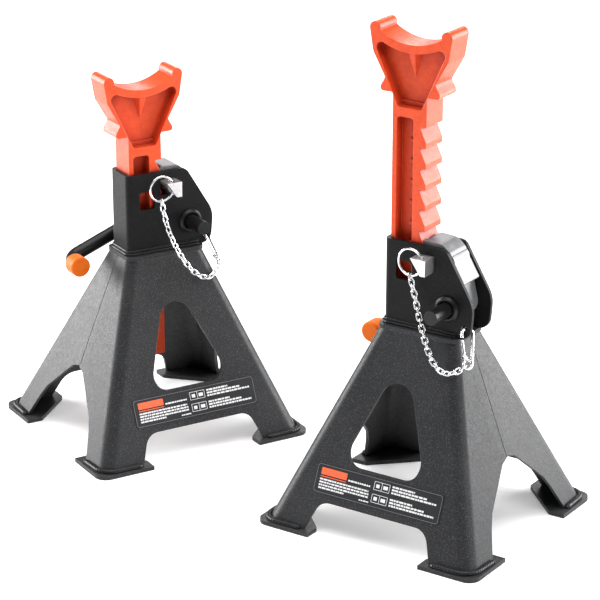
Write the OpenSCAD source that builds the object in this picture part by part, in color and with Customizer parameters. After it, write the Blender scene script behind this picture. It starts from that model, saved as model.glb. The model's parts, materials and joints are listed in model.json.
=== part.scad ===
// A pair of ratchet axle jack stands: one lowered, one raised.
// Each stand is drawn about its own centre line, +X towards the pawl,
// -Y towards the labelled face, Z up from the floor.

/* [Pair] */
// Centre of the lowered stand, across
left_x = -100.9; // [-160:0.1:-90]
// Centre of the lowered stand, in depth
left_y = 82.4; // [80:0.1:160]
// Turn of the lowered stand
left_turn = 30.4; // [0:0.1:60]
// Teeth that the lowered column is raised by
left_step = 0; // [0:1:6]
// Centre of the raised stand, across
right_x = 99.5; // [90:0.1:160]
// Centre of the raised stand, in depth
right_y = -84.1; // [-160:0.1:-80]
// Turn of the raised stand
right_turn = -33.8; // [-60:0.1:0]
// Teeth that the raised column is raised by
right_step = 5; // [0:1:6]

/* [Base] */
// Height of the folded base, without its top plate
base_h = 141; // [138:1:144]
// Width of the base at the feet
base_w = 169; // [166:1:174]
// Depth of the base at the feet
base_d = 162; // [156:1:166]
// Width of the base at the top
top_w = 64; // [64:1:68]
// Depth of the base at the top
top_d = 39; // [38:1:42]
// How far the top sits towards the pawl
top_shift = 2; // [1:0.5:3]
// How far the feet sit towards the back
foot_shift = 2; // [0:0.5:3]
// How far the side seams stand out at the feet
seam_bulge = 3; // [0:0.5:4]
// Radius of the folds
fold_r = 11; // [7:1:12]
// Thickness of the base sheet
sheet_t = 2.6; // [2:0.1:3]
// Gap along the side seams
seam_gap = 0.5; // [0.3:0.1:1]
// Thickness of the foot plates
foot_t = 3; // [3:0.5:5]
// Thickness of the top plate
plate_t = 3; // [2.5:0.5:3.5]

/* [Post] */
// Height of the top of the post
post_top = 206; // [204:1:207]
// Left outside of the post
post_left = -27.5; // [-28:0.1:-27.4]
// Depth of the post, outside
post_d = 28.6; // [28.6:0.1:29.4]
// Thickness of the post's sheet
post_t = 2.8; // [2.4:0.1:2.8]

/* [Column] */
// Left side of the column
col_left = -24; // [-24.1:0.1:-23.8]
// Width of the column over its teeth
col_w = 26.8; // [26.5:0.1:26.9]
// Depth of the column
col_d = 21.8; // [20:0.2:21.8]
// Lowest end of the column, lowered
col_bottom = 60; // [40:1:64]
// Thickness of the web between the recesses
web_t = 6.4; // [5:0.2:8]
// Distance between teeth
pitch = 14.8; // [14.8:0.1:15]
// Number of notches
notches = 8; // [8:1:9]
// Underside of the top tooth, lowered
first_notch = 214.5; // [214:0.1:215]
// How deep a notch is cut
notch_depth = 5.3; // [4:0.1:6]

/* [Saddle] */
// Height of the lips, lowered
lip_top = 282.7; // [280:0.1:285]
// Lowest point of the seat, lowered
seat_low = 270; // [268:0.5:271]
// Radius of the seat
seat_r = 45; // [42:1:50]
// Half the distance between the lips
lip_u = 28.1; // [27:0.1:29]

/* [Pawl and handle] */
// Place of the pivot across
pivot_x = 24.3; // [24:0.1:24.6]
// Height of the pivot
pivot_z = 164; // [163:0.5:165]
// Radius of the handle rod
rod_r = 5.25; // [5:0.05:5.3]
// Front end of the rod
rod_front = -37; // [-38:0.5:-30]
// Depth at which the arm runs behind the post
arm_y = 31; // [28:0.5:33]
// Slope of the lowered stand's arm below level
left_slope = 20.5; // [17:0.5:28]
// Slope of the raised stand's arm below level
right_slope = 28; // [17:0.5:28]
// Length of the arm from pivot to grip
arm_len = 86.5; // [80:0.5:90]
// Radius of the grip
grip_r = 7.7; // [7:0.1:8.5]

/* [Locking pin, chain and hook] */
// Outer end of the locking pin
pin_front = -25.5; // [-28:0.5:-24]
// Radius of the ring, to the middle of its wire
ring_r = 9.6; // [9:0.1:10]
// Wire of the ring
ring_wire = 1.5; // [1.3:0.1:1.6]
// Wire of the chain
chain_wire = 1.15; // [1:0.05:1.2]
// Number of links
links = 22; // [22:1:23]
// Wire of the snap hook
hook_wire = 2.2; // [1.8:0.1:2.3]

/* [Hidden] */
$fn = 64;

far = 200;
paint_black = "#1c1c1e";
paint_grey = "#46484b";
cast_orange = "#f4603a";
grip_orange = "#ff8a24";
bright_steel = "#d9dadc";

// base
front_slope = ((base_d - top_d) / 2 - foot_shift) / (base_h - foot_t);
window_top = [-1, 94.5, 14.5];
window_low = [[-18, 60.5, 11], [17, 61, 11.5]];
arch_top = 23.4;
arch_r = 12;
arch_half = 47;
side_arch = [[0, 58.5], [9, 55.5], [36.5, 31], [42.5, 22], [50.5, 6], [52, -2]];
foot_out = [89.5, 85.5];
foot_in = [45, 42];
foot_r = 9;
plate_gap = 0.02;
weld_w = 3.4;
weld_h = 3.2;

// post
post_bottom = base_h + plate_t;
post_in = post_d / 2 - post_t;
cheek_top_arc = [17.5, 198.5, 7.5];
cheek_mid_arc = [pivot_x, pivot_z, 19.5];
cheek_low_arc = [34, 153, 9];
post_corner = 4.4;
window_box = [-17.5, 178, -5, 192];
slot_box = [-0.5, 187.2, 13, 200.2];
hook_hole = [37.6, 151.5];
hook_hole_r = 2.7;
bush_r = 7.6;
bush_flange_r = 9.2;
bush_out = 3.2;
bore_gap = 0.05;

// column
col_right = col_left + col_w;
col_mid = (col_left + col_right) / 2;
tooth_land = 3.9;
floor_y = web_t / 2;
recess_r = 2.5;
seat_z = seat_low + seat_r;
lip_r = 4.2;
flange_z = 235.5;

// pawl
pawl_half = 10.2;
nose = [4.3, 206.6, 2.2];
hub_r = 9.9;
pin_gap = 0.05;

// handle
bend_r = 9.5;
grip_back = 21;
grip_front = 7.8;
grip_wall = 0.05;

// locking pin
pin_top = first_notch - pitch - 0.3;
pin_low = 187.8;
pin_left = 0.2;
pin_right = 12.3;
pin_toe = 8.3;
pin_rear = 17.5;
ring_at = [-2.2, -20.5, 194.6];
ring_hole = [6.3, 2.7];

// chain, guided from the ring's lowest point to the hook's eye
link_out = 6.85;
link_w = 4.7;
link_sides = 6;
chain_start = [-2.2, -20.5, 184.2];
chain_end = [43.2, -24.3, 127.7];
left_guides = [chain_start, [0, -24, 148], [20.7, -44, 108.5], chain_end];
right_guides = [chain_start, [12, -24, 147], [25.6, -40.8, 111.6], chain_end];
chain_side = [0, -1, 0];
route_steps = 200;

// snap hook: its own plane, u across, v down from the top of the wire
hook_down = unit([5.5, -10, -20.5]);
hook_across = unit(flat([4.6, 5.4, 0], hook_down));
hook_normal = cross(hook_across, hook_down);
hook_top = [38.65, -10.8, 152.6];
hook_half = 3.8;
eye_at = [0.9, 26];
eye_r = 3;
eye_wire = 1.7;
gate_foot = [-1.6, 21.4];
gate_top = [-3.7, 9.4];
gate_r = 0.9;
rivet_r = 0.7;

// label
label_mid = 0.4;
label_w = 102.5;
label_h = 21;
label_low = 28.5;
label_t = 0.35;
label_gap = 0.05;
slope_angle = atan(front_slope);

function both_sides(a) = concat(a, [for (i = [len(a) - 1:-1:1]) [-a[i][0], a[i][1]]]);
function unit(a) = a / norm(a);
function flat(a, n) = a - n * (a * n);
function mix(a, b, t) = a * (1 - t) + b * t;
function route(g, t) =
    mix(
        mix(mix(g[0], g[1], t), mix(g[1], g[2], t), t),
        mix(mix(g[1], g[2], t), mix(g[2], g[3], t), t),
        t
    );
function step_length(g, i) = norm(route(g, i / route_steps) - route(g, (i - 1) / route_steps));
function lengths(g, i = 1, sum = [0]) =
    i > route_steps ? sum : lengths(g, i + 1, concat(sum, [sum[i - 1] + step_length(g, i)]));

module on_left() translate([left_x, left_y, 0]) rotate(left_turn) children();
module on_right() translate([right_x, right_y, 0]) rotate(right_turn) children();

// an x-z outline, made solid from y0 to y1
module across(y0, y1) {
    translate([0, y1, 0]) rotate([90, 0, 0]) linear_extrude(y1 - y0) children();
}

module disc(c) translate([c[0], c[1]]) circle(c[2]);

module round_box(x0, y0, x1, y1, r) {
    hull() {
        for (x = [x0 + r, x1 - r], y = [y0 + r, y1 - r]) translate([x, y]) circle(r, $fn = 24);
    }
}

// ---- base ----

// the base's outline at one height, drawn in by d
module base_ring(w, h, back, bulge, r, d) {
    offset(delta = -d) hull() {
        for (x = [-1, 1], y = [-1, 1])
            translate([x * (w / 2 - r), y * (h / 2 - r) + back]) circle(r, $fn = 32);
        for (x = [-1, 1]) translate([x * (w / 2 + bulge), 0]) square([0.02, 1], center = true);
    }
}

module foot_ring(d) base_ring(base_w, base_d, foot_shift, seam_bulge, fold_r, d);
module top_ring(d) base_ring(top_w, top_d, 0, 0.1, fold_r - 3, d);

module base_solid(d) {
    hull() {
        translate([0, 0, foot_t]) linear_extrude(0.01) foot_ring(d);
        translate([top_shift, 0, base_h - 0.01]) linear_extrude(0.01) top_ring(d);
    }
}

module base_window() {
    hull() {
        disc(window_top);
        for (c = window_low) disc(c);
    }
}

module base_arch() {
    hull() {
        for (x = [-1, 1]) translate([x * (arch_half - arch_r), arch_top - arch_r]) circle(arch_r);
        translate([-arch_half - 6, -2]) square([2 * (arch_half + 6), 1]);
    }
}

module base_half(side) {
    color(paint_grey) difference() {
        base_solid(0);
        base_solid(sheet_t);
        translate([0, 0, foot_t - 1]) linear_extrude(2) foot_ring(sheet_t);
        translate([top_shift, 0, base_h - 1]) linear_extrude(2) top_ring(sheet_t);
        translate([-far, side < 0 ? -seam_gap / 2 : -far, -1]) cube([2 * far, far + seam_gap / 2, far]);
        across(side < 0 ? -far : 0, side < 0 ? 0 : far) {
            base_window();
            base_arch();
        }
        translate([0, foot_shift, 0]) rotate(90) across(-far, far) polygon(both_sides(side_arch));
    }
}

module foot_outline() {
    offset(r = foot_r, $fn = 32) offset(delta = -foot_r)
        square([foot_out[0] * 2, foot_out[1] * 2], center = true);
}

module one_foot(sx, sy) {
    intersection() {
        foot_outline();
        scale([sx, sy]) hull() {
            translate([foot_in[0] + 3, foot_out[1] - 11]) circle(3, $fn = 24);
            translate([foot_in[0] + 3, foot_out[1] + 2]) circle(3, $fn = 24);
            translate([foot_out[0] - 11, foot_in[1] + 3]) circle(3, $fn = 24);
            translate([foot_out[0] + 2, foot_in[1] + 3]) circle(3, $fn = 24);
            translate([foot_out[0] + 2, foot_out[1] + 2]) circle(3, $fn = 24);
        }
    }
}

module foot_plates() {
    color(paint_grey) translate([0, foot_shift, 0]) linear_extrude(foot_t) {
        for (x = [-1, 1], y = [-1, 1]) one_foot(x, y);
    }
}

// beads along the outside of each leg, on its foot plate
module foot_welds() {
    color(paint_grey) translate([0, 0, foot_t]) linear_extrude(weld_h) difference() {
        foot_ring(-weld_w);
        foot_ring(0);
        square([2 * (arch_half + 5.5), far], center = true);
        translate([0, foot_shift]) square([2 * far, 2 * 51], center = true);
    }
}

module top_plate() {
    color(paint_grey) translate([0, 0, base_h + plate_gap]) linear_extrude(plate_t - plate_gap) difference() {
        round_box(top_shift - top_w / 2, -top_d / 2, top_shift + top_w / 2 + 0.7, top_d / 2, 6);
        translate([col_left - 0.6, -post_in]) square([col_w + 1.4, 2 * post_in]);
    }
}

// ---- post ----

module post_outline(grow) {
    offset(r = grow, $fn = 24) hull() {
        for (y = [-1, 1]) translate([post_left + post_corner, y * (post_d / 2 - post_corner)])
            circle(post_corner, $fn = 32);
        translate([40, -post_d / 2]) square([10, post_d]);
    }
}

module cheek_outline() {
    hull() {
        translate([post_left - 2, post_bottom]) square([10, post_top - post_bottom]);
        disc(cheek_top_arc);
        disc(cheek_mid_arc);
        disc(cheek_low_arc);
    }
}

module box_cut(b, r) round_box(b[0], b[1], b[2], b[3], r);

module post() {
    color(paint_black) difference() {
        intersection() {
            translate([0, 0, post_bottom]) linear_extrude(far) difference() {
                post_outline(0);
                post_outline(-post_t);
                translate([38, -post_in]) square([20, 2 * post_in]);
            }
            across(-far, far) cheek_outline();
        }
        across(-far, far) {
            box_cut(window_box, 1.5);
            box_cut(slot_box, 1.5);
        }
        translate([pivot_x, 0, pivot_z]) rotate([90, 0, 0]) cylinder(r = bush_r, h = 60, center = true);
        translate([hook_hole[0], -20, hook_hole[1]]) rotate([90, 0, 0])
            cylinder(r = hook_hole_r, h = 20, center = true);
    }
}

// double bead where the post stands on the top plate
module post_weld() {
    color(paint_black) translate([0, 0, post_bottom]) for (s = [[0, 2.2], [2.2, 1.3]]) {
        translate([0, 0, s[0]]) linear_extrude(2.2) difference() {
            post_outline(s[1]);
            post_outline(0);
            translate([32, -far]) square([far, 2 * far]);
        }
    }
}

module pivot_bushes() {
    color(paint_black) for (s = [-1, 1])
        translate([pivot_x, s * post_in, pivot_z]) rotate([s < 0 ? 90 : -90, 0, 0]) rotate_extrude() polygon([
            [rod_r + bore_gap, 0], [bush_r, 0], [bush_r, post_t], [bush_flange_r, post_t],
            [bush_flange_r, post_t + bush_out - 1.4], [bush_flange_r - 1.4, post_t + bush_out],
            [bush_flange_r - 2.4, post_t + bush_out], [rod_r + bore_gap, post_t + 1.2]
        ]);
}

// bar that keeps the column upright, between the cheeks
module guide_bar() {
    color(paint_black) translate([col_right + 0.5, -post_in, post_bottom + 1]) cube([6, 2 * post_in, 11]);
}

// ---- column ----

module saddle_outline() {
    difference() {
        hull() {
            for (s = [-1, 1]) {
                translate([s * lip_u, lip_top - lip_r]) circle(lip_r);
                translate([s * 22, 265]) circle(8);
            }
            translate([-col_w / 2, flange_z - 1.5]) square([col_w, 1]);
        }
        difference() {
            intersection() {
                translate([0, seat_z]) circle(seat_r, $fn = 120);
                translate([-lip_u, seat_low - 1]) square([2 * lip_u, 40]);
            }
            for (s = [-1, 1]) translate([s * lip_u, lip_top - lip_r]) circle(lip_r);
        }
    }
    // flared ears under the seat
    for (s = [-1, 1]) {
        polygon([
            [s * 12, 246], [s * 19.6, 246], [s * 20.9, 243], [s * 23.2, 239.2],
            [s * 23.5, 237.2], [s * 22.2, flange_z], [s * 12, flange_z]
        ]);
    }
}

module upper_recess() {
    difference() {
        hull() {
            for (s = [-1, 1]) {
                translate([s * 23, 265.2]) circle(4);
                translate([s * 11.4, 243]) circle(4.2);
                translate([s * 7.6, 228.5]) circle(recess_r);
            }
        }
        translate([0, seat_z]) circle(seat_r + 5.7, $fn = 120);
    }
}

module lower_recess() round_box(-10, col_bottom + 6, 3.3, 219.5, recess_r);

module column_notches() {
    for (k = [0:notches - 1]) {
        z = first_notch - k * pitch;
        polygon([
            [col_w / 2 + 1, z], [col_w / 2 - notch_depth, z],
            [col_w / 2, z - pitch + tooth_land], [col_w / 2 + 1, z - pitch + tooth_land]
        ]);
    }
}

// rib that tapers to nothing on the floor of the upper recess
module saddle_rib() {
    for (s = [0, 180]) rotate(s) polyhedron(
        [
            [-7.4, floor_y - 0.2, 266.4], [7.4, floor_y - 0.2, 266.4], [2.6, col_d / 2 - 1.2, 266.4],
            [-2.6, col_d / 2 - 1.2, 266.4], [0, floor_y - 0.2, 245]
        ],
        [[3, 2, 1, 0], [1, 4, 0], [2, 4, 1], [3, 4, 2], [0, 4, 3]]
    );
}

module column(steps) {
    color(cast_orange) translate([col_mid, 0, steps * pitch]) {
        difference() {
            across(-col_d / 2, col_d / 2) difference() {
                union() {
                    translate([-col_w / 2, col_bottom]) square([col_w, flange_z + 2 - col_bottom]);
                    saddle_outline();
                }
                column_notches();
            }
            for (s = [[floor_y, far], [-far, -floor_y]]) across(s[0], s[1]) {
                upper_recess();
                lower_recess();
            }
        }
        // step at the foot of the upper recess, and the graduation bars
        for (s = [-1, 1]) {
            translate([0, s * (floor_y + 0.8), 227.4]) cube([20.6, 2, 4], center = true);
            for (k = [0:6])
                translate([-0.4, s * (floor_y + 0.4), 202 - k * pitch]) cube([5.4, 1.6, 2.6], center = true);
        }
        saddle_rib();
    }
}

// ---- pawl and handle ----

module pawl_outline() {
    offset(r = 0.4, $fn = 24) offset(delta = -0.4) difference() {
        union() {
            hull() {
                disc(nose);
                disc([13.8, 200.4, 8]);
                disc([18.5, 199, 6]);
            }
            polygon([
                [14, 193], [20.6, 204.6], [22.4, 203.3], [34.8, 182.6], [33.4, 180.9], [27, 184.5], [18, 188]
            ]);
            hull() {
                disc([20.5, 196, 6.2]);
                disc([pivot_x, pivot_z, hub_r]);
            }
        }
        translate([-5, 181]) square([18.2, 20.3]);
    }
}

module pawl() {
    color(paint_grey) difference() {
        across(-pawl_half, pawl_half) pawl_outline();
        translate([pivot_x, 0, pivot_z]) {
            rotate([90, 0, 0]) cylinder(r = rod_r + 0.02, h = 60, center = true);
            cylinder(r = 2 + pin_gap, h = 2 * hub_r + 1, center = true);
        }
        // lightening pocket on each side of the arm
        for (s = [-1, 1])
            translate([21.5, s * (pawl_half + 2), 183]) rotate([90, 0, 0])
                cylinder(r = 4.4, h = 10, center = true);
    }
}

// keys the pawl to the rod
module roll_pin() {
    color(bright_steel) translate([pivot_x, 0, pivot_z]) difference() {
        cylinder(r = 2, h = 2 * hub_r - 1, center = true);
        cylinder(r = 1, h = 30, center = true);
    }
}

module rod_bend() rotate_extrude(angle = 90) translate([bend_r, 0]) circle(rod_r);

module handle(slope) {
    bend_y = arm_y - bend_r;
    color(paint_black) difference() {
        translate([pivot_x, 0, pivot_z]) rotate([0, -slope, 0]) {
            translate([0, bend_y, 0]) rotate([90, 0, 0]) cylinder(r = rod_r, h = bend_y - rod_front);
            translate([-bend_r, bend_y, 0]) rod_bend();
            translate([bend_r - arm_len, arm_y, 0]) rotate([0, 90, 0])
                cylinder(r = rod_r, h = arm_len - 2 * bend_r);
            translate([bend_r - arm_len, bend_y, 0]) rotate(90) rod_bend();
            translate([-arm_len, bend_y, 0]) rotate([90, 0, 0])
                cylinder(r = rod_r, h = bend_y - grip_front - 3);
        }
        translate([pivot_x, 0, pivot_z]) cylinder(r = 2 + pin_gap, h = 30, center = true);
    }
}

module grip(slope) {
    length = grip_back - grip_front;
    bore_r = rod_r + grip_wall;
    x = pivot_x - arm_len * cos(slope);
    z = pivot_z - arm_len * sin(slope);
    color(grip_orange) translate([x, grip_back, z]) rotate([90, 0, 0])
        rotate_extrude() polygon([
            [bore_r, 0], [grip_r - 1.6, 0], [grip_r - 0.5, 0.5], [grip_r, 2], [grip_r, length - 1],
            [grip_r - 1, length], [0, length], [0, length - 2.9], [bore_r, length - 2.9]
        ]);
}

// washers between the pawl's hub and the cheeks
module spacers() {
    color(bright_steel) for (s = [-1, 1])
        translate([pivot_x, s * (pawl_half + post_in) / 2, pivot_z]) rotate([90, 0, 0]) difference() {
            cylinder(r = 9, h = post_in - pawl_half - 0.3, center = true);
            cylinder(r = rod_r + bore_gap, h = 5, center = true);
        }
}

// ---- locking pin, ring, chain ----

module locking_pin() {
    color(bright_steel) difference() {
        across(pin_front, pin_rear)
            polygon([[pin_left, pin_top], [pin_right, pin_top], [pin_right, pin_low], [pin_toe, pin_low]]);
        translate([ring_hole[0], ring_at[1], 150]) cylinder(r = ring_hole[1], h = 80);
    }
}

module split_ring() {
    color(bright_steel) translate(ring_at) rotate([90, 0, 0]) rotate_extrude()
        translate([ring_r, 0]) circle(ring_wire / 2, $fn = 24);
}

// one link: a racetrack of round wire, long way along local X, flat in local X-Y
module link() {
    half_w = (link_w - chain_wire) / 2;
    half_l = link_out / 2 - chain_wire / 2 - half_w;
    track = [for (e = [1, -1], a = [-90:36:90])
        [e * (half_l + half_w * cos(a)), e * half_w * sin(a), e * cos(a), e * sin(a)]];
    n = len(track);
    polyhedron(
        [for (p = track, j = [0:link_sides - 1])
            let (c = cos(j * 360 / link_sides), s = sin(j * 360 / link_sides))
            [p[0] + c * p[2] * chain_wire / 2, p[1] + c * p[3] * chain_wire / 2, s * chain_wire / 2]],
        [for (i = [0:n - 1], j = [0:link_sides - 1], half = [0, 1])
            let (i2 = (i + 1) % n, j2 = (j + 1) % link_sides)
            half == 0
                ? [i * link_sides + j, i * link_sides + j2, i2 * link_sides + j2]
                : [i * link_sides + j, i2 * link_sides + j2, i2 * link_sides + j]]
    );
}

// turns local X along a, and local Y as near b as it can be
module along(at, a, b, twist) {
    x = unit(a);
    y = unit(flat(b, x));
    z = cross(x, y);
    multmatrix([[x[0], y[0], z[0], at[0]], [x[1], y[1], z[1], at[1]], [x[2], y[2], z[2], at[2]]])
        rotate([twist, 0, 0]) children();
}

// the last link stands square to the eye's wire, and the links before it
// turn by about a quarter turn each to reach that
module chain(g) {
    sum = lengths(g);
    link_pitch = sum[route_steps] / (links - 1);
    end_x = unit(g[3] - g[2]);
    end_side = flat(flat(end_x, hook_normal), end_x);
    end_y = unit(flat(chain_side, end_x));
    end_z = cross(end_x, end_y);
    end_twist = atan2(end_side * end_z, end_side * end_y);
    twist_step = 90 + ((end_twist - 90 * (links - 1) + 3690) % 180 - 90) / (links - 1);
    color(bright_steel) for (i = [0:links - 1]) {
        t = lookup(i * link_pitch, [for (k = [0:route_steps]) [sum[k], k / route_steps]]);
        ahead = route(g, min(t + 0.01, 1)) - route(g, max(t - 0.01, 0));
        along(route(g, t), ahead, chain_side, i * twist_step) link();
    }
}

// ---- snap hook ----

// local X = across, local Y = down, local Z = square to the hook's plane
module in_hook() {
    a = hook_across;
    d = hook_down;
    n = hook_normal;
    multmatrix([
        [a[0], d[0], n[0], hook_top[0]], [a[1], d[1], n[1], hook_top[1]], [a[2], d[2], n[2], hook_top[2]]
    ]) children();
}

module wire(a, b, r) {
    translate([a[0], a[1], 0]) rotate([0, 0, atan2(b[1] - a[1], b[0] - a[0])]) rotate([0, 90, 0])
        cylinder(r = r, h = norm([b[0] - a[0], b[1] - a[1]]), $fn = 24);
}

module snap_hook() {
    r = hook_wire / 2;
    color(bright_steel) in_hook() {
        difference() {
            union() {
                wire([hook_half, r + hook_half], [hook_half, eye_at[1] - 0.5], r);
                wire([-hook_half, r + hook_half], [-hook_half, gate_top[1] - 1.6], r);
                translate([0, r + hook_half, 0]) rotate(180) rotate_extrude(angle = 180)
                    translate([hook_half, 0]) circle(r, $fn = 24);
                translate([eye_at[0], eye_at[1], 0]) rotate_extrude()
                    translate([eye_r, 0]) circle(eye_wire / 2, $fn = 24);
                for (s = [-1, 1]) hull() {
                    translate([gate_foot[0], gate_foot[1], s * 1.1 - 0.3])
                        cylinder(r = 1.6, h = 0.6, $fn = 24);
                    translate([eye_at[0] - 1.4, eye_at[1] - 2.6, s * 0.7 - 0.3])
                        cylinder(r = 0.9, h = 0.6, $fn = 24);
                }
            }
            translate([gate_foot[0], gate_foot[1], 0]) cylinder(r = rivet_r + 0.02, h = 10, center = true);
            translate([gate_foot[0], gate_foot[1], 0]) cylinder(r = 2, h = 1.44, center = true);
        }
    }
}

module hook_gate() {
    color(bright_steel) in_hook() difference() {
        union() {
            wire(gate_foot, gate_top, gate_r);
            translate([gate_foot[0], gate_foot[1], 0]) cylinder(r = 1.5, h = 1.2, center = true, $fn = 24);
        }
        translate([gate_foot[0], gate_foot[1], 0])
            cylinder(r = rivet_r + 0.08, h = 10, center = true, $fn = 24);
        for (s = [-1, 1]) translate([gate_foot[0], gate_foot[1], s * 1.6])
            cylinder(r = 2.2, h = 2, center = true, $fn = 24);
    }
}

module gate_rivet() {
    color(bright_steel) in_hook() translate([gate_foot[0], gate_foot[1], 0]) {
        cylinder(r = rivet_r, h = 3, center = true, $fn = 24);
        for (s = [-1, 1]) translate([0, 0, s * 1.7]) cylinder(r = 1.2, h = 0.5, center = true, $fn = 24);
    }
}

// ---- label ----

module label() {
    y = foot_shift - base_d / 2 + (label_low - foot_t) * front_slope;
    color("#303236") translate([label_mid, y, label_low]) rotate([90 - slope_angle, 0, 0])
        translate([0, 0, label_gap])
        linear_extrude(label_t) round_box(-label_w / 2, 0, label_w / 2, label_h, 2.5);
}

// ---- the two stands ----

module left_base_front() on_left() base_half(-1);
module left_base_rear() on_left() base_half(1);
module left_foot_plates() on_left() foot_plates();
module left_foot_welds() on_left() foot_welds();
module left_top_plate() on_left() top_plate();
module left_post() on_left() post();
module left_post_weld() on_left() post_weld();
module left_pivot_bushes() on_left() pivot_bushes();
module left_guide_bar() on_left() guide_bar();
module left_column() on_left() column(left_step);
module left_pawl() on_left() pawl();
module left_roll_pin() on_left() roll_pin();
module left_handle() on_left() handle(left_slope);
module left_grip() on_left() grip(left_slope);
module left_spacers() on_left() spacers();
module left_locking_pin() on_left() locking_pin();
module left_split_ring() on_left() split_ring();
module left_chain() on_left() chain(left_guides);
module left_snap_hook() on_left() snap_hook();
module left_hook_gate() on_left() hook_gate();
module left_gate_rivet() on_left() gate_rivet();
module left_label() on_left() label();

module right_base_front() on_right() base_half(-1);
module right_base_rear() on_right() base_half(1);
module right_foot_plates() on_right() foot_plates();
module right_foot_welds() on_right() foot_welds();
module right_top_plate() on_right() top_plate();
module right_post() on_right() post();
module right_post_weld() on_right() post_weld();
module right_pivot_bushes() on_right() pivot_bushes();
module right_guide_bar() on_right() guide_bar();
module right_column() on_right() column(right_step);
module right_pawl() on_right() pawl();
module right_roll_pin() on_right() roll_pin();
module right_handle() on_right() handle(right_slope);
module right_grip() on_right() grip(right_slope);
module right_spacers() on_right() spacers();
module right_locking_pin() on_right() locking_pin();
module right_split_ring() on_right() split_ring();
module right_chain() on_right() chain(right_guides);
module right_snap_hook() on_right() snap_hook();
module right_hook_gate() on_right() hook_gate();
module right_gate_rivet() on_right() gate_rivet();
module right_label() on_right() label();

left_base_front();
left_base_rear();
left_foot_plates();
left_foot_welds();
left_top_plate();
left_post();
left_post_weld();
left_pivot_bushes();
left_guide_bar();
left_column();
left_pawl();
left_roll_pin();
left_handle();
left_grip();
left_spacers();
left_locking_pin();
left_split_ring();
left_chain();
left_snap_hook();
left_hook_gate();
left_gate_rivet();
left_label();
right_base_front();
right_base_rear();
right_foot_plates();
right_foot_welds();
right_top_plate();
right_post();
right_post_weld();
right_pivot_bushes();
right_guide_bar();
right_column();
right_pawl();
right_roll_pin();
right_handle();
right_grip();
right_spacers();
right_locking_pin();
right_split_ring();
right_chain();
right_snap_hook();
right_hook_gate();
right_gate_rivet();
right_label();
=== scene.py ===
"""Looks of two ratchet axle jack stands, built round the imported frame. Lengths are in metres."""
import json
import math
import random

import bmesh
import bpy
import numpy as np
from mathutils import Matrix, Vector


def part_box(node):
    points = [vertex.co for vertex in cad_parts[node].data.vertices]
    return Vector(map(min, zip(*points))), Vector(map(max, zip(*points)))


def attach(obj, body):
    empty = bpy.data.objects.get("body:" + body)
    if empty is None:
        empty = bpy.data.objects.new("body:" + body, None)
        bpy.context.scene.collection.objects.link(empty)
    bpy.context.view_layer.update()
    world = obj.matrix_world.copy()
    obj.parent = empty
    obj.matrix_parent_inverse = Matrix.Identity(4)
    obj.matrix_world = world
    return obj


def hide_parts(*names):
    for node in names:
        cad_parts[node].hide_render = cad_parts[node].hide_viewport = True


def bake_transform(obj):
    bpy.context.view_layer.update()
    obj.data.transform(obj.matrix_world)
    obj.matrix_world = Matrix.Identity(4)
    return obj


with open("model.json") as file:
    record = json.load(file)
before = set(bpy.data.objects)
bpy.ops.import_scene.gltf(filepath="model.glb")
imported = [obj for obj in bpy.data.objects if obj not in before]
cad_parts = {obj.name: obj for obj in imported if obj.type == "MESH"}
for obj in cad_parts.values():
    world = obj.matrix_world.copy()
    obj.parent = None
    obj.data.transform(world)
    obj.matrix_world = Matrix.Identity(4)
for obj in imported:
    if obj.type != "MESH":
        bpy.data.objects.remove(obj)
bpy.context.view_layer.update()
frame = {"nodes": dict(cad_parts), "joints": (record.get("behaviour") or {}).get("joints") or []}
NODES = frame["nodes"]
JOINTS = {joint["name"]: joint for joint in frame["joints"]}
SIDES = ("left", "right")
MM = 0.001

# ---- camera -----------------------------------------------------------------

CAMERA_AT = (0.0106, -1.7527, 0.7777)
CAMERA_PITCH = 20.28
CAMERA_LENS = 153.5


def make_camera():
    data = bpy.data.cameras.new("camera")
    data.lens = CAMERA_LENS
    data.sensor_width = 36
    data.clip_start = 0.05
    data.clip_end = 50
    camera = bpy.data.objects.new("camera", data)
    camera.location = CAMERA_AT
    camera.rotation_euler = (math.radians(90 - CAMERA_PITCH), 0, 0)
    bpy.context.scene.collection.objects.link(camera)
    bpy.context.scene.camera = camera


# ---- stand frames -----------------------------------------------------------

PIVOT_X = 24.3 * MM


def stand_matrix(side):
    """A stand's own axes: X towards the pawl, -Y towards the label, origin on the floor under its middle."""
    joint = JOINTS[side + "_pawl_release"]
    y = Vector(joint["axis"])
    z = Vector((0, 0, 1))
    x = y.cross(z)
    origin = Vector(joint["pos_m"]) - PIVOT_X * x
    origin.z = 0
    matrix = Matrix((x, y, z)).transposed().to_4x4()
    matrix.translation = origin
    return matrix


STAND = {side: stand_matrix(side) for side in SIDES}


def add_piece(name, mesh_data, body, material, side=None):
    """An object from a bmesh, in a stand's own axes if a side is given, riding on a body."""
    mesh = bpy.data.meshes.new(name)
    mesh_data.to_mesh(mesh)
    mesh_data.free()
    if side:
        mesh.transform(STAND[side])
    mesh.materials.append(material)
    piece = bpy.data.objects.new(name, mesh)
    bpy.context.scene.collection.objects.link(piece)
    if body:
        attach(piece, body)
    return piece


# ---- materials --------------------------------------------------------------


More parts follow.
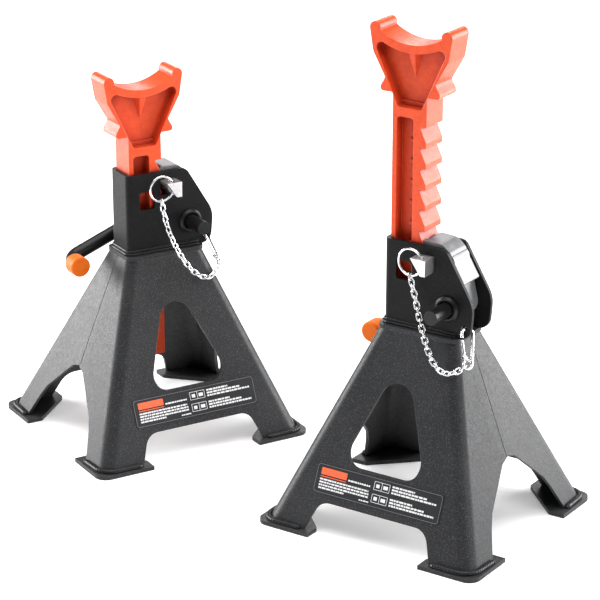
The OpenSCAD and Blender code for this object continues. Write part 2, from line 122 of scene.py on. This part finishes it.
class Finish:
    """A Principled material whose textures run in the row frame, in metres."""

    def __init__(self, name):
        self.material = bpy.data.materials.new(name)
        self.material.use_nodes = True
        self.nodes = self.material.node_tree.nodes
        self.links = self.material.node_tree.links
        self.shader = self.nodes["Principled BSDF"]
        self.place = self.nodes.new("ShaderNodeTexCoord").outputs["Object"]

    def set(self, **values):
        for name, value in values.items():
            self.shader.inputs[name.replace("_", " ")].default_value = value
        return self

    def node(self, kind, inputs, **settings):
        made = self.nodes.new(kind)
        for name, value in settings.items():
            setattr(made, name, value)
        for name, value in inputs.items():
            if isinstance(value, bpy.types.NodeSocket):
                self.links.new(value, made.inputs[name])
            else:
                made.inputs[name].default_value = value
        return made

    def noise(self, size, detail=3.0, roughness=0.55, stretch=None):
        """Grey noise whose features are about size metres across."""
        place = self.place
        if stretch:
            place = self.node("ShaderNodeMapping", {"Vector": place, "Scale": stretch}).outputs[0]
        made = self.node(
            "ShaderNodeTexNoise",
            {"Vector": place, "Scale": 1 / size, "Detail": detail, "Roughness": roughness},
        )
        return made.outputs["Fac"]

    def remap(self, value, low, high, to_low=0.0, to_high=1.0):
        made = self.node(
            "ShaderNodeMapRange",
            {"Value": value, "From Min": low, "From Max": high, "To Min": to_low, "To Max": to_high},
        )
        return made.outputs["Result"]

    def mix(self, factor, a, b, blend="MIX"):
        made = self.nodes.new("ShaderNodeMix")
        made.data_type = "RGBA"
        made.blend_type = blend
        for index, value in ((0, factor), (6, a), (7, b)):
            if isinstance(value, bpy.types.NodeSocket):
                self.links.new(value, made.inputs[index])
            elif index == 0:
                made.inputs[index].default_value = value
            else:
                made.inputs[index].default_value = (*value, 1)
        return made.outputs[2]

    def rounded(self, radius):
        """The normal with every sharp edge rounded off to this radius."""
        return self.node("ShaderNodeBevel", {"Radius": radius}, samples=6).outputs["Normal"]

    def edges(self, radius, reach=0.12):
        """1 along sharp edges, 0 on flat faces."""
        facing = self.node(
            "ShaderNodeVectorMath",
            {0: self.rounded(radius), 1: self.nodes.new("ShaderNodeNewGeometry").outputs["Normal"]},
            operation="DOT_PRODUCT",
        ).outputs["Value"]
        return self.remap(facing, 1.0, 1.0 - reach)

    def recess_shade_mask(self, reach, open_at=0.85):
        """1 deep in a corner or recess, 0 in the open: the mask for painting shade into a colour."""
        made = self.node("ShaderNodeAmbientOcclusion", {"Distance": reach}, samples=4)
        return self.remap(made.outputs["AO"], open_at, 0.3)

    def bump(self, height, depth, strength=1.0, normal=None):
        inputs = {"Height": height, "Distance": depth, "Strength": strength}
        if normal is not None:
            inputs["Normal"] = normal
        return self.node("ShaderNodeBump", inputs).outputs["Normal"]

    def drive(self, **sockets):
        for name, socket in sockets.items():
            self.links.new(socket, self.shader.inputs[name.replace("_", " ")])
        return self


def powder_coat(name, dark, light, speck_and_highlight, shine, roughness, grain):
    """Textured powder coat: two tones, fine pale specks that are partly metallic flakes and partly painted
    glints, orange-peel grain, and a painted highlight along the edges.
    """
    finish = Finish(name)
    finish.set(Metallic=0.0, Specular_IOR_Level=shine)
    cloud = finish.remap(finish.noise(60 * MM, 4), 0.35, 0.65)
    # pale specks: partly metallic flakes in the coat, partly painted glints
    flake_and_glint_specks = finish.remap(finish.noise(0.75 * MM, 2, 0.6), 0.54, 0.72)
    tone = finish.mix(cloud, dark, light)
    tone = finish.mix(finish.remap(flake_and_glint_specks, 0, 1, 0, 0.6), tone, speck_and_highlight)
    # painted highlight: the edges are painted lighter in the speck colour
    edge_highlight = finish.remap(finish.edges(0.5 * MM), 0.25, 1.0, 0, 0.35)
    tone = finish.mix(edge_highlight, tone, speck_and_highlight)
    peel = finish.noise(1.1 * MM, 3, 0.6)
    normal = finish.bump(peel, 0.08 * MM, grain, finish.rounded(0.45 * MM))
    gloss = finish.remap(finish.noise(2.5 * MM, 3), 0.3, 0.7, roughness - 0.06, roughness + 0.08)
    finish.drive(Base_Color=tone, Normal=normal, Roughness=gloss)
    return finish.material


def cast_paint(name):
    """Orange-red paint on a rough casting, darker in the low spots of the fine grain, with edges painted
    paler, partly where the paint runs thin and partly as a painted highlight, and painted shade deep in
    corners and recesses.
    """
    finish = Finish(name)
    finish.set(Metallic=0.0, Specular_IOR_Level=0.24, Coat_Weight=0.06, Coat_Roughness=0.22)
    lump = finish.noise(5 * MM, 4, 0.6)
    grain = finish.noise(0.9 * MM, 3, 0.6)
    tone = finish.mix(finish.remap(lump, 0.3, 0.7), (0.68, 0.064, 0.014), (0.78, 0.086, 0.021))
    tone = finish.mix(finish.remap(grain, 0.3, 0.5, 0.35, 0), tone, (0.46, 0.030, 0.008))
    # painted shade: the colour turns deep red in corners and recesses
    tone = finish.mix(finish.recess_shade_mask(11 * MM), tone, (0.27, 0.008, 0.002))
    # edges painted paler: partly the paint running thin, partly a painted highlight
    thin = finish.remap(finish.edges(0.6 * MM), 0.2, 1.0, 0, 0.55)
    tone = finish.mix(thin, tone, (0.95, 0.20, 0.08))
    skin = finish.bump(grain, 0.12 * MM, 0.5, finish.rounded(0.7 * MM))
    normal = finish.bump(lump, 0.5 * MM, 0.35, skin)
    gloss = finish.remap(finish.noise(3 * MM, 3), 0.3, 0.7, 0.3, 0.48)
    finish.drive(Base_Color=tone, Normal=normal, Roughness=gloss)
    return finish.material


def satin_casting(name):
    """Grey satin cast iron of the pawl."""
    finish = Finish(name)
    finish.set(Metallic=0.35, Specular_IOR_Level=0.5)
    lump = finish.noise(4 * MM, 4, 0.6)
    grain = finish.noise(0.6 * MM, 3, 0.65)
    tone = finish.mix(finish.remap(lump, 0.3, 0.7), (0.15, 0.152, 0.157), (0.22, 0.222, 0.23))
    # the edges are painted lighter
    lighter_edges = finish.remap(finish.edges(0.7 * MM), 0.2, 1.0, 0, 0.6)
    tone = finish.mix(lighter_edges, tone, (0.42, 0.42, 0.43))
    normal = finish.bump(grain, 0.08 * MM, 0.6, finish.rounded(0.8 * MM))
    gloss = finish.remap(lump, 0.3, 0.7, 0.36, 0.52)
    finish.drive(Base_Color=tone, Normal=normal, Roughness=gloss)
    return finish.material


def gloss_black(name):
    """Dipped black paint on the handle rod, the bushes and the weld beads."""
    finish = Finish(name)
    finish.set(Metallic=0.0, Specular_IOR_Level=0.2, Coat_Weight=0.12, Coat_Roughness=0.15)
    cloud = finish.noise(12 * MM, 3)
    tone = finish.mix(finish.remap(cloud, 0.3, 0.7), (0.007, 0.007, 0.0075), (0.012, 0.012, 0.0125))
    scuff = finish.noise(1.5 * MM, 4, 0.7)
    tone = finish.mix(finish.remap(scuff, 0.6, 0.75, 0, 0.25), tone, (0.05, 0.05, 0.052))
    normal = finish.bump(finish.noise(2.2 * MM, 2), 0.08 * MM, 0.5, finish.rounded(0.4 * MM))
    gloss = finish.remap(cloud, 0.3, 0.7, 0.28, 0.42)
    finish.drive(Base_Color=tone, Normal=normal, Roughness=gloss)
    return finish.material


def soft_cap(name):
    """Matt orange dipped rubber with a faint mould mottle."""
    finish = Finish(name)
    finish.set(Metallic=0.0, Specular_IOR_Level=0.15)
    cloud = finish.noise(7 * MM, 3)
    tone = finish.mix(finish.remap(cloud, 0.3, 0.7), (0.72, 0.125, 0.006), (0.80, 0.155, 0.010))
    dust = finish.noise(0.8 * MM, 3, 0.65)
    tone = finish.mix(finish.remap(dust, 0.58, 0.75, 0, 0.3), tone, (0.9, 0.30, 0.06))
    normal = finish.bump(dust, 0.06 * MM, 0.5, finish.rounded(0.7 * MM))
    gloss = finish.remap(cloud, 0.3, 0.7, 0.46, 0.6)
    finish.drive(Base_Color=tone, Normal=normal, Roughness=gloss)
    return finish.material


def bright_zinc(name):
    """Bright plated wire with a slight haze."""
    finish = Finish(name)
    finish.set(Metallic=1.0)
    haze = finish.noise(2.0 * MM, 4, 0.6)
    tone = finish.mix(finish.remap(haze, 0.3, 0.7), (0.80, 0.81, 0.83), (0.93, 0.93, 0.94))
    tone = finish.mix(finish.remap(finish.noise(0.7 * MM, 3), 0.6, 0.75, 0, 0.35), tone, (0.55, 0.55, 0.57))
    normal = finish.bump(finish.noise(0.5 * MM, 2), 0.02 * MM, 0.5, finish.rounded(0.15 * MM))
    gloss = finish.remap(haze, 0.3, 0.7, 0.14, 0.28)
    finish.drive(Base_Color=tone, Normal=normal, Roughness=gloss)
    return finish.material


def drawn_bar(name):
    """Bright steel bar of the locking pin, with fine uneven streaks."""
    finish = Finish(name)
    finish.set(Metallic=0.9)
    streak = finish.noise(1.2 * MM, 4, 0.65)
    tone = finish.mix(finish.remap(streak, 0.3, 0.7), (0.62, 0.62, 0.63), (0.86, 0.86, 0.87))
    normal = finish.bump(streak, 0.03 * MM, 0.6, finish.rounded(0.35 * MM))
    gloss = finish.remap(streak, 0.3, 0.7, 0.3, 0.45)
    finish.drive(Base_Color=tone, Normal=normal, Roughness=gloss)
    return finish.material


def film(name):
    """Dark satin film of the label."""
    finish = Finish(name)
    finish.set(Metallic=0.0, Specular_IOR_Level=0.2)
    cloud = finish.noise(14 * MM, 3)
    tone = finish.mix(finish.remap(cloud, 0.3, 0.7), (0.020, 0.021, 0.023), (0.026, 0.027, 0.029))
    normal = finish.bump(finish.noise(0.6 * MM, 2), 0.02 * MM, 0.4)
    gloss = finish.remap(finish.noise(2 * MM, 3), 0.3, 0.7, 0.38, 0.5)
    finish.drive(Base_Color=tone, Normal=normal, Roughness=gloss)
    return finish.material


def ink(name, colour, faded):
    """Screen-printed ink that is a little thin in places."""
    finish = Finish(name)
    finish.set(Metallic=0.0, Specular_IOR_Level=0.35)
    thin = finish.remap(finish.noise(1.5 * MM, 3, 0.6), 0.45, 0.7, 0, 0.5)
    finish.drive(
        Base_Color=finish.mix(thin, colour, faded),
        Roughness=finish.remap(finish.noise(3 * MM, 3), 0.3, 0.7, 0.42, 0.58),
    )
    return finish.material


def make_materials():
    return {
        "base": powder_coat(
            "base_coat",
            dark=(0.022, 0.0225, 0.024),
            light=(0.030, 0.0305, 0.032),
            speck_and_highlight=(0.12, 0.121, 0.127),
            shine=0.15,
            roughness=0.40,
            grain=0.8,
        ),
        "post": powder_coat(
            "post_coat",
            dark=(0.008, 0.008, 0.0085),
            light=(0.011, 0.011, 0.0115),
            speck_and_highlight=(0.03, 0.03, 0.032),
            shine=0.09,
            roughness=0.42,
            grain=0.45,
        ),
        "weld": gloss_black("weld_coat"),
        "column": cast_paint("cast_paint"),
        "pawl": satin_casting("satin_casting"),
        "handle": gloss_black("gloss_black"),
        "grip": soft_cap("soft_cap"),
        "zinc": bright_zinc("bright_zinc"),
        "pin": drawn_bar("drawn_bar"),
        "label": film("label_film"),
        "white_ink": ink("white_ink", (0.80, 0.80, 0.80), (0.45, 0.45, 0.46)),
        "grey_ink": ink("grey_ink", (0.16, 0.16, 0.17), (0.10, 0.10, 0.11)),
        "orange_ink": ink("orange_ink", (0.90, 0.13, 0.045), (0.62, 0.07, 0.03)),
    }


NODE_FINISH = {
    "base_front": "base",
    "base_rear": "base",
    "foot_plates": "base",
    "top_plate": "base",
    "post": "post",
    "pivot_bushes": "handle",
    "guide_bar": "post",
    "column": "column",
    "pawl": "pawl",
    "roll_pin": "zinc",
    "handle": "handle",
    "grip": "grip",
    "spacers": "zinc",
    "locking_pin": "pin",
    "snap_hook": "zinc",
    "hook_gate": "zinc",
    "gate_rivet": "zinc",
    "label": "label",
}


def dress_nodes(materials):
    for side in SIDES:
        for part, key in NODE_FINISH.items():
            for material_slot in NODES[f"{side}_{part}"].material_slots:
                material_slot.material = materials[key]


# ---- smooth folds on the faceted sheet --------------------------------------

SMOOTH_UNDER = math.radians(24)


def smooth_group():
    """Merges split corners, then shades smoothly over every edge that turns less than SMOOTH_UNDER."""
    group = bpy.data.node_groups.new("smooth_folds", "GeometryNodeTree")
    group.interface.new_socket("Mesh", in_out="INPUT", socket_type="NodeSocketGeometry")
    group.interface.new_socket("Mesh", in_out="OUTPUT", socket_type="NodeSocketGeometry")
    start = group.nodes.new("NodeGroupInput")
    merge = group.nodes.new("GeometryNodeMergeByDistance")
    merge.inputs["Distance"].default_value = 0.005 * MM
    angle = group.nodes.new("GeometryNodeInputMeshEdgeAngle")
    sharp = group.nodes.new("FunctionNodeCompare")
    sharp.operation = "GREATER_THAN"
    sharp.inputs["B"].default_value = SMOOTH_UNDER
    normal = group.nodes.new("GeometryNodeSetMeshNormal")
    normal.inputs["Remove Custom"].default_value = True
    end = group.nodes.new("NodeGroupOutput")
    group.links.new(start.outputs[0], merge.inputs["Geometry"])
    group.links.new(merge.outputs[0], normal.inputs["Mesh"])
    group.links.new(angle.outputs["Unsigned Angle"], sharp.inputs["A"])
    group.links.new(sharp.outputs[0], normal.inputs["Edge Sharpness"])
    group.links.new(normal.outputs[0], end.inputs[0])
    return group


def smooth_sheets():
    group = smooth_group()
    for side in SIDES:
        for part in ("base_front", "base_rear"):
            node = NODES[f"{side}_{part}"]
            node.modifiers.new("smooth_folds", "NODES").node_group = group
            weighted = node.modifiers.new("flat_faces", "WEIGHTED_NORMAL")
            weighted.keep_sharp = True
            weighted.weight = 90


# ---- swept shapes -----------------------------------------------------------


def spaced(points, step):
    """Points along a polyline, step apart."""
    points = [Vector(p) for p in points]
    ends = [0.0]
    for a, b in zip(points, points[1:]):
        ends.append(ends[-1] + (b - a).length)
    count = max(2, round(ends[-1] / step))
    made = []
    segment = 0
    for i in range(count + 1):
        s = ends[-1] * i / count
        while segment < len(points) - 2 and s > ends[segment + 1]:
            segment += 1
        t = (s - ends[segment]) / (ends[segment + 1] - ends[segment])
        made.append(points[segment].lerp(points[segment + 1], min(t, 1)))
    return made


def add_tube(mesh, rings, closed):
    """Joins rings of points into a tube, with ends capped unless it is closed on itself."""
    verts = [[mesh.verts.new(p) for p in ring] for ring in rings]
    count = len(verts[0])
    pairs = list(zip(verts, verts[1:]))
    if closed:
        pairs.append((verts[-1], verts[0]))
    for a, b in pairs:
        for j in range(count):
            k = (j + 1) % count
            face = mesh.faces.new((a[j], a[k], b[k], b[j]))
            face.smooth = True
    if not closed:
        mesh.faces.new(list(reversed(verts[0])))
        mesh.faces.new(verts[-1])


# ---- weld beads -------------------------------------------------------------

BEAD_STEP = 0.3 * MM
BEAD_PITCH = 2.1 * MM
BEAD_SIDES = 14
# rings between two changes of a bead's random width
BEAD_WOBBLE = 12


def add_bead(mesh, path, radius, height, seed):
    """A weld bead along a level path: overlapping scallops, each with a curved front, and tapered ends."""
    rng = random.Random(seed)
    line = spaced(path, BEAD_STEP)
    count = len(line)
    wobble = [rng.uniform(-1, 1) for _ in range(count // BEAD_WOBBLE + 3)]
    rings = []
    for i, point in enumerate(line):
        ahead = line[min(i + 1, count - 1)] - line[max(i - 1, 0)]
        ahead.normalize()
        out = ahead.cross(Vector((0, 0, 1)))
        s = i * BEAD_STEP
        left = min(i, count - 1 - i) * BEAD_STEP
        taper = math.sqrt(min(1.0, (left + 0.05 * radius) / (1.2 * radius)))
        first, rest = divmod(i, BEAD_WOBBLE)
        sway = wobble[first] * (1 - rest / BEAD_WOBBLE) + wobble[first + 1] * rest / BEAD_WOBBLE
        ring = []
        for j in range(BEAD_SIDES):
            a = 2 * math.pi * j / BEAD_SIDES
            phase = (s + 0.45 * radius * math.cos(a) ** 2) / BEAD_PITCH
            scallop = 0.80 + 0.20 * math.sqrt(abs(math.sin(math.pi * phase)))
            size = scallop * taper * (1 + 0.05 * sway)
            lift = Vector((0, 0, height * size * math.sin(a)))
            ring.append(point + out * (radius * size * math.cos(a)) + lift)
        rings.append(ring)
    add_tube(mesh, rings, closed=False)


def arc(centre, radius, start, end, count):
    """Level points of an arc, in degrees."""
    made = []
    for i in range(count + 1):
        a = math.radians(start + (end - start) * i / count)
        made.append(Vector((centre[0] + radius * math.cos(a), centre[1] + radius * math.sin(a), centre[2])))
    return made


# the base's foot outline, as in the CAD source
BASE_HALF = (84.5 * MM, 81 * MM)
BASE_BACK = 2 * MM
FOLD_R = 11 * MM
FOOT_TOP = 3 * MM
LEG_FROM = (53.2 * MM, 51.6 * MM)
SIDE_LEAN = 0.8 * MM


def leg_path(sx, sy, off, z):
    """Round the outside of one leg at the foot plate, off the sheet by off."""
    hx, hy = BASE_HALF
    centre = (sx * (hx - FOLD_R), sy * (hy - FOLD_R) + BASE_BACK, z)
    turn = {(1, 1): (90, 0), (-1, 1): (90, 180), (-1, -1): (270, 180), (1, -1): (270, 360)}[(sx, sy)]
    points = [Vector((sx * LEG_FROM[0], sy * (hy + off) + BASE_BACK, z))]
    points += arc(centre, FOLD_R + off, turn[0], turn[1], 16)
    points.append(Vector((sx * (hx + off + SIDE_LEAN), sy * LEG_FROM[1] + BASE_BACK, z)))
    return points


def foot_beads(side, material):
    mesh = bmesh.new()
    for index, (sx, sy) in enumerate([(-1, -1), (1, -1), (1, 1), (-1, 1)]):
        path = leg_path(sx, sy, 1.1 * MM, FOOT_TOP + 0.9 * MM)
        add_bead(mesh, path, 2.1 * MM, 2.1 * MM, seed=index + (0 if side == "left" else 10))
    piece = add_piece(f"{side}_foot_beads", mesh, "stands", material, side)
    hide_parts(f"{side}_foot_welds")


# the post's outline, as in the CAD source
POST_LEFT = -27.5 * MM
POST_HALF = 14.3 * MM
POST_CORNER = 4.4 * MM
POST_BOTTOM = 144 * MM
POST_WELD_END = 31.5 * MM


def post_path(off, z):
    centre_x = POST_LEFT + POST_CORNER
    inner = POST_HALF - POST_CORNER
    points = [Vector((POST_WELD_END, -POST_HALF - off, z))]
    points += arc((centre_x, -inner, z), POST_CORNER + off, 270, 180, 10)
    points += arc((centre_x, inner, z), POST_CORNER + off, 180, 90, 10)
    points.append(Vector((POST_WELD_END, POST_HALF + off, z)))
    return points


def post_beads(side, material):
    mesh = bmesh.new()
    seed = 20 if side == "left" else 30
    add_bead(mesh, post_path(0.75 * MM, POST_BOTTOM + 0.75 * MM), 1.35 * MM, 1.25 * MM, seed)
    add_bead(mesh, post_path(0.25 * MM, POST_BOTTOM + 2.9 * MM), 1.0 * MM, 1.15 * MM, seed + 1)
    piece = add_piece(f"{side}_post_beads", mesh, "stands", material, side)
    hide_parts(f"{side}_post_weld")


# ---- chain and split ring ---------------------------------------------------

LINK_SIDES = 10
LINK_WIRE = 1.15 * MM
LINK_LENGTH = 6.85 * MM
LINK_WIDTH = 4.7 * MM


def islands(node):
    """The separate solids of a CAD node, each as an array of points."""
    mesh = bmesh.new()
    mesh.from_mesh(NODES[node].data)
    bmesh.ops.remove_doubles(mesh, verts=mesh.verts, dist=0.001 * MM)
    mesh.verts.ensure_lookup_table()
    seen = set()
    found = []
    for first in mesh.verts:
        if first.index in seen:
            continue
        seen.add(first.index)
        stack = [first]
        points = []
        while stack:
            vert = stack.pop()
            points.append(vert.co.copy())
            for edge in vert.link_edges:
                other = edge.other_vert(vert)
                if other.index not in seen:
                    seen.add(other.index)
                    stack.append(other)
        found.append(np.array(points))
    mesh.free()
    return found


def own_axes(points):
    """Centre, long axis and flat normal of one link's points."""
    centre = points.mean(0)
    values, vectors = np.linalg.eigh(np.cov((points - centre).T))
    return Vector(centre), Vector(vectors[:, 2]), Vector(vectors[:, 0])


def add_link(mesh, centre, along, flat):
    """One racetrack link of round wire, in the place of a CAD link."""
    across = flat.cross(along).normalized()
    half_width = (LINK_WIDTH - LINK_WIRE) / 2
    half_run = LINK_LENGTH / 2 - LINK_WIRE / 2 - half_width
    track = []
    for end in (1, -1):
        for k in range(11):
            a = math.radians(-90 + 18 * k)
            out = Vector((end * math.cos(a), end * math.sin(a), 0))
            track.append((Vector((end * half_run, 0, 0)) + out * half_width, out))
    rings = []
    for place, out in track:
        ring = []
        for j in range(LINK_SIDES):
            b = 2 * math.pi * j / LINK_SIDES
            p = place + out * (math.cos(b) * LINK_WIRE / 2)
            lift = math.sin(b) * LINK_WIRE / 2
            ring.append(centre + along * p.x + across * p.y + flat * lift)
        rings.append(ring)
    add_tube(mesh, rings, closed=True)


def make_chain(side, material):
    mesh = bmesh.new()
    for points in islands(f"{side}_chain"):
        add_link(mesh, *own_axes(points))
    bmesh.ops.recalc_face_normals(mesh, faces=mesh.faces)
    piece = add_piece(f"{side}_chain_links", mesh, None, material)
    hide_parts(f"{side}_chain")
    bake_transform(piece)


RING_TURNS = 2
RING_WIRE = 0.37 * MM
RING_STEPS = 72
RING_SIDES = 10
# where the wire's cut end shows, in radians round the ring
RING_CUT = 0.35


def make_split_ring(side, material):
    """A key ring: two turns of flat-sided wire side by side, stepping over once, with cut ends."""
    joint = JOINTS[side + "_ring_turn"]
    centre = Vector(joint["pos_m"])
    normal = Vector(joint["axis"])
    up = Vector((0, 0, 1))
    across = up.cross(normal)
    low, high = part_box(f"{side}_split_ring")
    radius = (high.z - low.z) / 2 - 2 * RING_WIRE
    mesh = bmesh.new()
    rings = []
    total = RING_STEPS * RING_TURNS - 2
    for i in range(total + 1):
        a = 2 * math.pi * i / RING_STEPS + RING_CUT
        turn = i / total * 2 - 1
        shift = RING_WIRE * math.tanh(turn * 9)
        out = across * math.cos(a) + up * math.sin(a)
        ring = []
        for j in range(RING_SIDES):
            b = 2 * math.pi * j / RING_SIDES
            wide = 1.9 * RING_WIRE * math.copysign(abs(math.cos(b)) ** 0.7, math.cos(b))
            thick = 0.94 * RING_WIRE * math.copysign(abs(math.sin(b)) ** 0.7, math.sin(b))
            ring.append(centre + out * (radius + wide) + normal * (shift + thick))
        rings.append(ring)
    add_tube(mesh, rings, closed=False)
    bmesh.ops.recalc_face_normals(mesh, faces=mesh.faces)
    piece = add_piece(f"{side}_key_ring", mesh, f"{side}_ring", material)
    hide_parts(f"{side}_split_ring")


# ---- label print ------------------------------------------------------------

LABEL_WIDTH = 102.5
LABEL_HEIGHT = 21.0
LABEL_MIDDLE = 0.4 * MM
LABEL_LOW = 28.5 * MM
LABEL_PROUD = 0.4 * MM
# how far the front leans back for each unit of height: from the foot plates' top to the base's top
BASE_DEEP = 162
TOP_DEEP = 39
BASE_TOP = 141
FRONT_SLOPE = ((BASE_DEEP - TOP_DEEP) / 2 - BASE_BACK / MM) / (BASE_TOP - FOOT_TOP / MM)
INK_T = 0.06 * MM


def label_matrix():
    """From millimetres on the label, from its lower left corner, to the stand's own axes."""
    lean = math.atan(FRONT_SLOPE)
    across = Vector((1, 0, 0))
    up = Vector((0, math.sin(lean), math.cos(lean)))
    out = across.cross(up)
    y = BASE_BACK - BASE_HALF[1] + (LABEL_LOW - FOOT_TOP) * FRONT_SLOPE
    matrix = Matrix((across, up, out)).transposed().to_4x4() @ Matrix.Scale(MM, 4)
    matrix.translation = Vector((LABEL_MIDDLE - LABEL_WIDTH * MM / 2, y, LABEL_LOW)) + out * LABEL_PROUD
    return matrix


def add_outline(mesh, points):
    """A flat printed shape, given its outline in label millimetres."""
    thick = INK_T / MM
    low = [mesh.verts.new((u, v, 0)) for u, v in points]
    top = [mesh.verts.new((u, v, thick)) for u, v in points]
    mesh.faces.new(list(reversed(low)))
    mesh.faces.new(top)
    for i in range(len(points)):
        k = (i + 1) % len(points)
        mesh.faces.new((low[i], low[k], top[k], top[i]))


def add_bar(mesh, u, v, width, height, slant=0.0):
    add_outline(mesh, [(u, v), (u + width, v), (u + width + slant, v + height), (u + slant, v + height)])


def rounded_corners(u, v, width, height, radius, steps=6):
    made = []
    for cx, cy, start in (
        (u + width - radius, v + radius, -90),
        (u + width - radius, v + height - radius, 0),
        (u + radius, v + height - radius, 90),
        (u + radius, v + radius, 180),
    ):
        for k in range(steps + 1):
            a = math.radians(start + 90 * k / steps)
            made.append((cx + radius * math.cos(a), cy + radius * math.sin(a)))
    return made


def add_frame(mesh, u, v, width, height, line, radius=0.3):
    """A printed rectangle's outline, line wide."""
    thick = INK_T / MM
    outer = rounded_corners(u, v, width, height, radius)
    inner_radius = max(radius - line, 0.05)
    inner = rounded_corners(u + line, v + line, width - 2 * line, height - 2 * line, inner_radius)
    levels = ((outer, 0), (outer, thick), (inner, thick), (inner, 0))
    loops = [[mesh.verts.new((a, b, z)) for a, b in loop] for loop, z in levels]
    for a, b in zip(loops, loops[1:] + loops[:1]):
        for i in range(len(a)):
            k = (i + 1) % len(a)
            mesh.faces.new((a[i], a[k], b[k], b[i]))


def add_words(mesh, u, v, length, height, rng):
    """A line of print as plain dashes of uneven length."""
    end = u + length
    while u < end - 0.6:
        width = min(rng.uniform(1.0, 3.4), end - u)
        add_bar(mesh, u, v, width, height)
        u += width + rng.uniform(0.35, 0.6)


def make_label_print(side, materials):
    rng = random.Random(7)
    place = STAND[side] @ label_matrix()
    white = bmesh.new()
    orange = bmesh.new()
    grey = bmesh.new()

    add_frame(grey, 0.5, 0.5, LABEL_WIDTH - 1, LABEL_HEIGHT - 1, 0.32, 2.2)
    add_outline(orange, rounded_corners(4.0, 13.4, 21.0, 4.9, 0.5))
    add_bar(orange, 4.0, 11.8, 21.0, 0.6)
    add_words(white, 26.5, 13.2, 18.0, 1.1, rng)
    for row, length in enumerate((40.0, 41.5, 41.0, 22.0)):
        add_words(white, 4.0, 9.5 - 2.05 * row, length, 1.15, rng)
    add_words(white, 38.0, 2.3, 8.0, 0.9, rng)
    for v in (12.3, 3.4):
        add_frame(white, 47.5, v, 12.6, 6.0, 0.3)
        add_bar(white, 53.6, v + 0.2, 0.3, 5.6)
        add_bar(white, 49.2, v + 1.7, 2.7, 2.5)
        add_bar(white, 55.0, v + 1.7, 3.6, 2.5)
        for row, length in enumerate((18.0, 28.0, 36.0)):
            add_words(white, 62.0, v + 4.5 - 2.1 * row, length, 1.25, rng)

    for mesh, key in ((white, "white_ink"), (orange, "orange_ink"), (grey, "grey_ink")):
        bmesh.ops.recalc_face_normals(mesh, faces=mesh.faces)
        bmesh.ops.transform(mesh, matrix=place, verts=mesh.verts)
        add_piece(f"{side}_label_{key}", mesh, "stands", materials[key])


# ---- floor and light --------------------------------------------------------


def make_floor():
    mesh = bpy.data.meshes.new("floor")
    reach = 6.0
    mesh.from_pydata(
        [(-reach, -reach, 0), (reach, -reach, 0), (reach, reach, 0), (-reach, reach, 0)], [], [(0, 1, 2, 3)]
    )
    floor = bpy.data.objects.new("floor", mesh)
    bpy.context.scene.collection.objects.link(floor)
    finish = Finish("floor_white")
    finish.set(Base_Color=(0.92, 0.92, 0.92, 1), Roughness=0.9, Specular_IOR_Level=0.1)
    finish.set(Emission_Color=(1, 1, 1, 1), Emission_Strength=0.25)
    mesh.materials.append(finish.material)


def add_panel(name, at, towards, size, power):
    data = bpy.data.lights.new(name, "AREA")
    data.shape = "RECTANGLE"
    data.size, data.size_y = size
    data.energy = power
    light = bpy.data.objects.new(name, data)
    light.location = at
    light.rotation_euler = (Vector(towards) - Vector(at)).to_track_quat("-Z", "Y").to_euler()
    bpy.context.scene.collection.objects.link(light)


def make_lights():
    world = bpy.data.worlds.new("studio")
    bpy.context.scene.world = world
    world.use_nodes = True
    world.node_tree.nodes["Background"].inputs["Color"].default_value = (1, 1, 1, 1)
    world.node_tree.nodes["Background"].inputs["Strength"].default_value = 0.12
    middle = (0, 0, 0.15)
    add_panel("left_panel", (-1.6, 0.7, 0.42), middle, (1.0, 1.1), 58)
    add_panel("right_panel", (1.6, 0.5, 0.42), middle, (1.0, 1.1), 48)
    add_panel("right_fill", (1.3, -1.0, 0.75), middle, (0.7, 0.7), 7)
    add_panel("top_panel", (0, -0.1, 2.2), middle, (2.4, 2.4), 74)
    add_panel("back_panel", (0.3, 2.6, 1.15), middle, (1.6, 0.5), 20)


def main():
    make_camera()
    materials = make_materials()
    dress_nodes(materials)
    smooth_sheets()
    for side in SIDES:
        foot_beads(side, materials["weld"])
        post_beads(side, materials["weld"])
        make_chain(side, materials["zinc"])
        make_split_ring(side, materials["zinc"])
        make_label_print(side, materials)
    make_floor()
    make_lights()
    bpy.context.scene.view_settings.view_transform = "Standard"


main()
